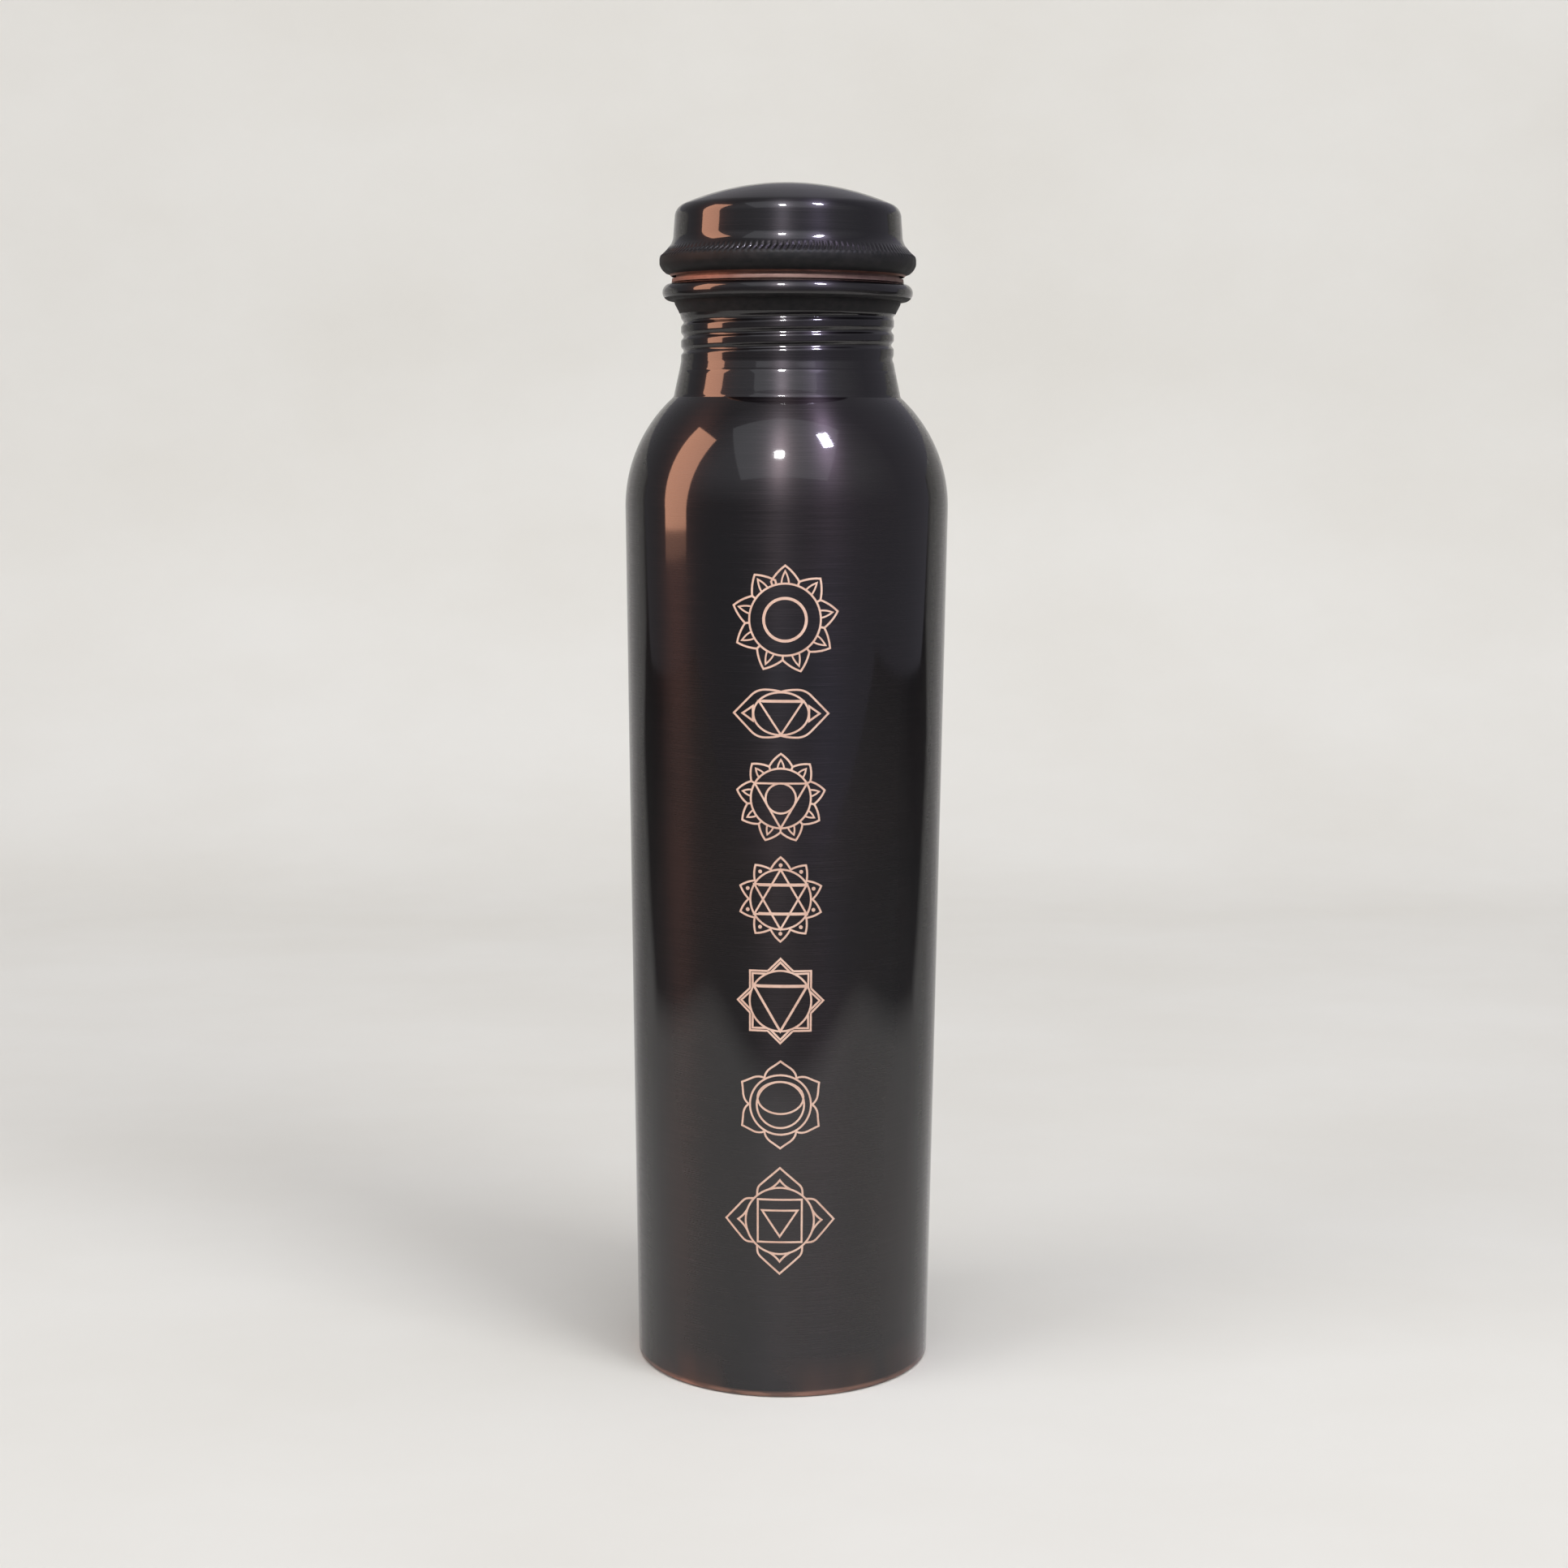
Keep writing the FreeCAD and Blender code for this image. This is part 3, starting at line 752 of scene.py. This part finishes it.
seal_low, seal_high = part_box("cap_gasket")
seal_inner = plug_radius + 0.0001
seal_outer = seal_high.x
seal_round = 0.0003
seal = spun("lid_seal", [
    *arc(seal_outer - seal_round, seal_high.z - seal_round, seal_round, 90, 0, 4),
    *arc(seal_outer - seal_round, seal_low.z + seal_round, seal_round, 0, -90, 4),
    (seal_inner, seal_low.z),
    (seal_inner, seal_high.z),
], 160)
silicone = bpy.data.materials.new("milky_silicone")
silicone.use_nodes = True
nodes, links = nodes_of(silicone)
surface = nodes.new("ShaderNodeBsdfPrincipled")
output = nodes.new("ShaderNodeOutputMaterial")
links.new(surface.outputs["BSDF"], output.inputs["Surface"])
haze = grain(nodes, links, (900, 900, 900), 2, 0.5, "haze")
links.new(tinted(nodes, links, haze, (0.72, 0.71, 0.66), (0.82, 0.81, 0.78)),
          surface.inputs["Base Color"])
links.new(spread(nodes, links, haze, 0.3, 0.7, 0.4, 0.55), surface.inputs["Roughness"])
surface.inputs["Subsurface Weight"].default_value = 0.2
surface.inputs["Subsurface Scale"].default_value = 0.001
seal.data.materials.append(silicone)
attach(seal, "seal")
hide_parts("cap_gasket")


# Setting: pale cloth on a table, curved up behind the bottle, in a dim room.

cloth_front = -0.60
cloth_back = 0.80
cloth_side = 1.40
cloth_top = 0.50
sweep = 0.25
bm = bmesh.new()
run = [(0, cloth_front, 0), (0, cloth_back - sweep, 0)]
for i in range(1, 13):
    turn = math.radians(90 * i / 12)
    run.append((0, cloth_back - sweep + sweep * math.sin(turn), sweep - sweep * math.cos(turn)))
run.append((0, cloth_back, cloth_top))
strip = [bm.verts.new((-cloth_side, y, z)) for x, y, z in run]
edges = [bm.edges.new(pair) for pair in zip(strip, strip[1:])]
grown = bmesh.ops.extrude_edge_only(bm, edges=edges)["geom"]
bmesh.ops.translate(bm, vec=(2 * cloth_side, 0, 0),
                    verts=[g for g in grown if isinstance(g, bmesh.types.BMVert)])
cloth_mesh = bpy.data.meshes.new("cloth")
bm.to_mesh(cloth_mesh)
bm.free()
cloth_mesh.shade_smooth()
cloth = bpy.data.objects.new("cloth", cloth_mesh)
bpy.context.collection.objects.link(cloth)


def sum_of(nodes, links, operation, first, second):
    """One step of arithmetic. Either side is a number or another node's output."""
    step = nodes.new("ShaderNodeMath")
    step.operation = operation
    for value, socket in ((first, step.inputs[0]), (second, step.inputs[1])):
        if isinstance(value, (int, float)):
            socket.default_value = value
        else:
            links.new(value, socket)
    return step.outputs["Value"]


def cloth_finish():
    """Pale cloth. The copper mirrors only the part near the bottle, and dimly."""
    material = bpy.data.materials.new("pale_cloth")
    material.use_nodes = True
    nodes, links = nodes_of(material)
    surface = nodes.new("ShaderNodeBsdfDiffuse")
    output = nodes.new("ShaderNodeOutputMaterial")
    links.new(surface.outputs["BSDF"], output.inputs["Surface"])
    place = nodes.new("ShaderNodeTexCoord")
    parts = nodes.new("ShaderNodeSeparateXYZ")
    links.new(place.outputs["Object"], parts.inputs["Vector"])
    x, y, z = parts.outputs
    wide = sum_of(nodes, links, "MULTIPLY_ADD", sum_of(nodes, links, "MAXIMUM", y, 0.12), 1.05)
    links.new(spread(nodes, links, z, 0.005, 0.045, 0.225, 0.50), wide.node.inputs[2])
    across = sum_of(nodes, links, "POWER",
                    sum_of(nodes, links, "DIVIDE", sum_of(nodes, links, "ABSOLUTE", x, 0), wide), 4)
    ahead = sum_of(nodes, links, "POWER", sum_of(
        nodes, links, "DIVIDE", sum_of(nodes, links, "MINIMUM", y, 0), -0.28), 4)
    inside = spread(nodes, links, sum_of(nodes, links, "ADD", across, ahead), 0.7, 1.5, 1, 0.28)
    dim = spread(nodes, links, y, -0.05, 0.25, 1.15, 0.72)
    seen = nodes.new("ShaderNodeLightPath")
    share = nodes.new("ShaderNodeMix")
    links.new(seen.outputs["Is Glossy Ray"], share.inputs["Factor"])
    share.inputs[2].default_value = 1
    links.new(sum_of(nodes, links, "MULTIPLY", inside, dim), share.inputs[3])
    weave = grain(nodes, links, (6, 9, 9), 5, 0.55, "folds and weave")
    woven = tinted(nodes, links, spread(nodes, links, weave, 0.35, 0.65, 0, 1),
                   (0.705, 0.688, 0.645), (0.735, 0.722, 0.685))
    scaled = nodes.new("ShaderNodeVectorMath")
    scaled.operation = "SCALE"
    links.new(woven, scaled.inputs[0])
    links.new(share.outputs[0], scaled.inputs["Scale"])
    links.new(scaled.outputs["Vector"], surface.inputs["Color"])
    return material


cloth_paint = cloth_finish()
cloth.data.materials.append(cloth_paint)

bm = bmesh.new()
bmesh.ops.create_grid(bm, x_segments=1, y_segments=1, size=4)
bmesh.ops.translate(bm, verts=bm.verts, vec=(0, 0, -0.0005))
table_mesh = bpy.data.meshes.new("table")
bm.to_mesh(table_mesh)
bm.free()
table = bpy.data.objects.new("table", table_mesh)
bpy.context.collection.objects.link(table)
table.data.materials.append(cloth_paint)
table.visible_glossy = False

world = bpy.data.worlds.new("room")
bpy.context.scene.world = world
world.use_nodes = True
nodes, links = world.node_tree.nodes, world.node_tree.links
nodes.clear()
place = nodes.new("ShaderNodeTexCoord")
parts = nodes.new("ShaderNodeSeparateXYZ")
links.new(place.outputs["Generated"], parts.inputs["Vector"])
room = nodes.new("ShaderNodeBackground")
upward = spread(nodes, links, parts.outputs["Z"], 0.05, 0.4, 0, 1)
forward = spread(nodes, links, parts.outputs["Y"], 0.0, -0.5, 0, 1)
ceiling = sum_of(nodes, links, "MULTIPLY", upward, forward)
rightward = spread(nodes, links, parts.outputs["X"], -0.2, 0.7, 0, 1)
walls = tinted(nodes, links, rightward, (0.27, 0.265, 0.28), (0.36, 0.35, 0.40))
links.new(tinted(nodes, links, ceiling, walls, (0.60, 0.60, 0.64)), room.inputs["Color"])
pale = nodes.new("ShaderNodeBackground")
pale.inputs["Color"].default_value = (0.72, 0.71, 0.68, 1)
seen = nodes.new("ShaderNodeLightPath")
choice = nodes.new("ShaderNodeMixShader")
output = nodes.new("ShaderNodeOutputWorld")
links.new(seen.outputs["Is Camera Ray"], choice.inputs["Fac"])
links.new(room.outputs["Background"], choice.inputs[1])
links.new(pale.outputs["Background"], choice.inputs[2])
links.new(choice.outputs["Shader"], output.inputs["Surface"])


def lamp(name, azimuth, elevation, distance, width, height, strength, colour, lights, shows):
    """A rectangular lamp that faces the bottle, by its direction from straight in front."""
    data = bpy.data.lights.new(name, "AREA")
    data.shape = "RECTANGLE"
    data.size = width
    data.size_y = height
    data.energy = strength
    data.color = colour
    lamp_object = bpy.data.objects.new(name, data)
    a, e = math.radians(azimuth), math.radians(elevation)
    away = Vector((math.sin(a) * math.cos(e), -math.cos(a) * math.cos(e), math.sin(e)))
    lamp_object.location = Vector((0, 0, 0.13)) + away * distance
    lamp_object.rotation_mode = "QUATERNION"
    lamp_object.rotation_quaternion = away.to_track_quat("Z", "Y")
    lamp_object.visible_diffuse = lights
    lamp_object.visible_glossy = shows
    bpy.context.collection.objects.link(lamp_object)


lamp("overhead_soft", 20, 70, 1.6, 1.6, 1.6, 12.5, (1.0, 1.0, 0.99), True, False)
lamp("front_right_soft", 45, 38, 1.5, 0.6, 0.6, 8.8, (0.98, 0.99, 1.0), True, False)
lamp("front_left_soft", -60, 30, 1.5, 0.8, 0.8, 6.7, (1.0, 0.99, 0.96), True, False)
lamp("ceiling_lamp", -6.5, 44, 1.5, 0.12, 0.12, 26, (1.0, 1.0, 1.0), False, True)
lamp("window", 39, 53, 1.5, 0.15, 0.27, 26, (0.80, 0.76, 1.0), False, True)
lamp("warm_curtain", -84, 24, 1.1, 0.42, 0.98, 9.2, (1.0, 0.48, 0.30), False, True)
lamp("curtain_hem", -84, -0.4, 1.1, 0.38, 0.03, 0.05, (1.0, 0.48, 0.30), False, True)
lamp("pale_ceiling", -2, 50, 1.5, 1.8, 1.3, 4.4, (0.92, 0.95, 1.0), False, True)

bpy.context.scene.view_settings.view_transform = "Standard"

# The camera stands a little below the lid and looks slightly down, with a small roll.

eye = bpy.data.cameras.new("eye")
eye.sensor_width = 36
eye.lens = 59.6
camera = bpy.data.objects.new("eye", eye)
camera.location = (-0.0003, -0.5917, 0.2195)
tilt = Matrix.Rotation(math.radians(90 - 8.18), 4, "X")
roll = Matrix.Rotation(math.radians(0.27), 4, "Z")
camera.rotation_mode = "QUATERNION"
camera.rotation_quaternion = (tilt @ roll).to_quaternion()
bpy.context.collection.objects.link(camera)
bpy.context.scene.camera = camera
